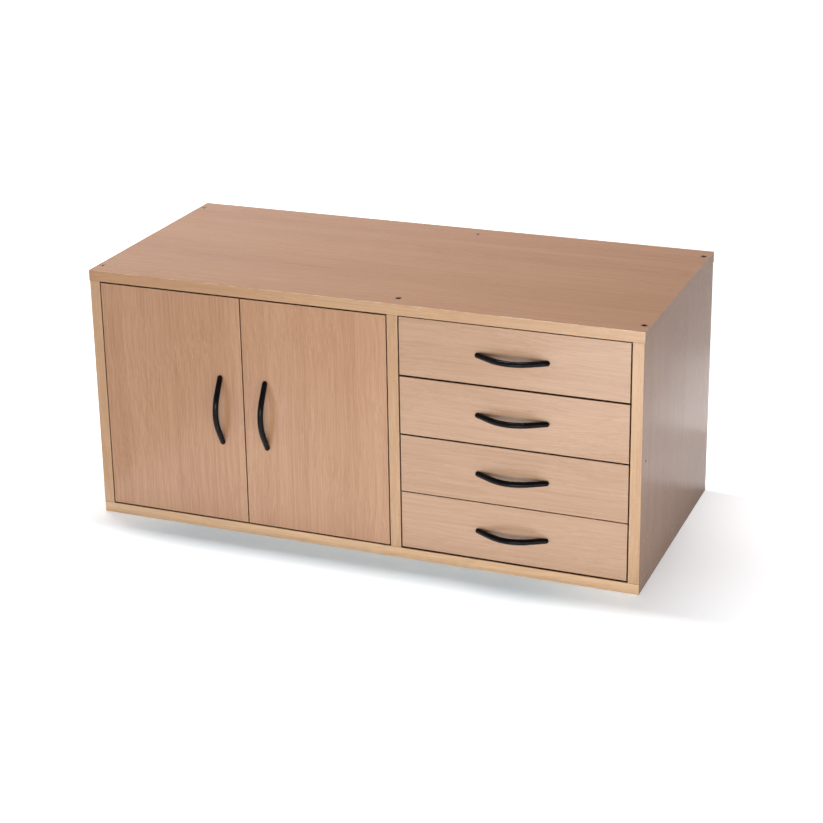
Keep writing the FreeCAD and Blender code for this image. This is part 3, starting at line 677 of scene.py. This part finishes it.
def fittingMaterial(name):
    look = fittings[name]
    material, tree, shader = newMaterial(name)
    position = place(tree, "TexCoord").outputs["Object"]
    marks = useGroup(tree, fineMarks, {"Vector": position, "Stretch": look["stretch"]})
    tree.links.new(mixNode(tree, marks["Cloud"], look["pale"], look["deep"]), shader.inputs["Base Color"])
    rough = rampNode(tree, marks["Marks"], *toolMarks["span"], look["smooth"], look["matt"])
    tree.links.new(rough, shader.inputs["Roughness"])
    shader.inputs["Metallic"].default_value = look["metal"]
    shader.inputs["Specular IOR Level"].default_value = look["specular"]
    bump = place(tree, "Bump", {
        "Strength": look["bump"], "Distance": toolMarks["depth"], "Height": marks["Marks"]})
    tree.links.new(bump.outputs[0], shader.inputs["Normal"])
    return material


screwTones = {"colour": rgb(0.47, 0.34, 0.27), "from": -0.14, "to": 0.12}  # heads at the rear left are pale brown and not metallic, heads towards the right front are steel


def toneScrews(material):
    tree = material.node_tree
    shader = tree.nodes["Principled BSDF"]
    position = place(tree, "TexCoord").outputs["Object"]
    split = place(tree, "SeparateXYZ", {0: position}).outputs
    across = mathNode(tree, "SUBTRACT", split["X"], split["Y"])
    bare = rampNode(tree, across, screwTones["from"], screwTones["to"])
    steel = shader.inputs["Base Color"].links[0].from_socket
    tree.links.new(mixNode(tree, bare, screwTones["colour"], steel), shader.inputs["Base Color"])
    tree.links.new(bare, shader.inputs["Metallic"])


finishes = {name: fittingMaterial(name) for name in fittings}
toneScrews(finishes["screw_steel"])
fittingNodes = {
    "zinc_plate": ["back_nails", "shelf_pins", "hinge_plates", "hinge_arms", "fitting_screws"],
    "screw_steel": ["carcass_screws"],
    "brown_plastic": ["left_runners", "right_runners", "catch_bodies"],
    "dark_ferrite": ["catch_magnets"],
}
for name in doorNames:
    for part in ["hinge_cups", "hinge_pins", "strike", "screws"]:
        fittingNodes["zinc_plate"].append(name + "_" + part)
for name in drawerNames:
    fittingNodes["zinc_plate"].append(name + "_fixings")
for finish, members in fittingNodes.items():
    for node in members:
        dress(node, finishes[finish])
print("fittings: %d finishes" % len(finishes))


# Bow handles: a round bar with a bend, two straight legs and rounded tips, cut off at the front face

handle = {
    "barWidth": 8.4 * mm,
    "barDepth": 9.0 * mm,
    "sides": 24,
    "legAngle": math.radians(28),
    "tipHeight": 4.5 * mm,
    "bendSteps": 20,
    "legSteps": 8,
    "tipSteps": 6,
    "tipShare": 0.90,  # the bar narrows towards its tips
    "tipTurn": math.radians(86),
    "smoothAngle": math.radians(40),
}


def growCap(form, cap, step, share):
    grown = bmesh.ops.extrude_face_region(form, geom=[cap])["geom"]
    verts = [item for item in grown if isinstance(item, bmesh.types.BMVert)]
    newCap = [item for item in grown if isinstance(item, bmesh.types.BMFace)][0]
    bmesh.ops.translate(form, verts=verts, vec=step)
    middle = newCap.calc_center_median()
    bmesh.ops.scale(form, verts=verts, vec=(share, share, share), space=Matrix.Translation(-middle))
    return newCap


def growLeg(form, cap, half):
    angle = handle["legAngle"]
    start = cap.calc_center_median()
    outward = Vector((math.copysign(math.cos(angle), start.x), math.sin(angle), 0))
    tipRadius = handle["barDepth"] / 2 * handle["tipShare"]
    legLength = (half - tipRadius - abs(start.x)) / math.cos(angle)
    for step in range(handle["legSteps"]):
        share = handle["tipShare"] ** (1 / handle["legSteps"])
        cap = growCap(form, cap, outward * legLength / handle["legSteps"], share)
    turns = [handle["tipTurn"] * step / handle["tipSteps"] for step in range(handle["tipSteps"] + 1)]
    for last, turn in zip(turns, turns[1:]):
        reach = tipRadius * (math.sin(turn) - math.sin(last))
        cap = growCap(form, cap, outward * reach, math.cos(turn) / math.cos(last))


def bowForm(length, projection):
    form = bmesh.new()
    angle = handle["legAngle"]
    half = length / 2
    rise = projection - handle["tipHeight"]
    bendHalf = (half * math.tan(angle) - rise) / (math.tan(angle) - math.tan(angle / 2))
    centre = Vector((0, bendHalf / math.sin(angle) - projection, 0))
    bmesh.ops.create_circle(form, cap_ends=True, segments=handle["sides"], radius=0.5)
    bmesh.ops.rotate(form, verts=form.verts, matrix=Matrix.Rotation(math.radians(90), 3, "Y"))
    bmesh.ops.scale(form, verts=form.verts, vec=(1, handle["barDepth"], handle["barWidth"]))
    bmesh.ops.translate(form, verts=form.verts, vec=(0, handle["barDepth"] / 2 - projection, 0))
    bmesh.ops.rotate(form, verts=form.verts, cent=centre, matrix=Matrix.Rotation(-angle, 3, "Z"))
    bmesh.ops.spin(form, geom=form.verts[:] + form.edges[:] + form.faces[:], cent=centre, axis=(0, 0, 1),
                   angle=2 * angle, steps=handle["bendSteps"], use_merge=False)
    for cap in [face for face in form.faces if len(face.verts) == handle["sides"]]:
        growLeg(form, cap, half)
    bmesh.ops.bisect_plane(form, geom=form.verts[:] + form.edges[:] + form.faces[:], plane_co=(0, 0, 0),
                           plane_no=(0, 1, 0), clear_outer=True)
    bmesh.ops.holes_fill(form, edges=[edge for edge in form.edges if edge.is_boundary])
    bmesh.ops.recalc_face_normals(form, faces=form.faces)
    return form


def addHandle(body, upright):
    node = body + "_handle"
    low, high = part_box(node)
    size = high - low
    middle = Vector(((low.x + high.x) / 2, high.y, (low.z + high.z) / 2))
    turn = Matrix.Rotation(math.radians(90), 4, "Y") if upright else Matrix.Identity(4)
    form = bowForm(max(size.x, size.z), size.y)
    bmesh.ops.transform(form, matrix=Matrix.Translation(middle) @ turn, verts=form.verts)
    mesh = bpy.data.meshes.new(body + "_bow")
    form.to_mesh(mesh)
    form.free()
    mesh.shade_smooth()
    mesh.set_sharp_from_angle(angle=handle["smoothAngle"])
    mesh.materials.append(finishes["black_coat"])
    piece = bpy.data.objects.new(body + "_bow", mesh)
    bpy.context.scene.collection.objects.link(piece)
    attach(piece, body)
    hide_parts(node)


for name in doorNames:
    addHandle(name, True)
for name in drawerNames:
    addHandle(name, False)
print("handles: %d bows" % (len(doorNames) + len(drawerNames)))
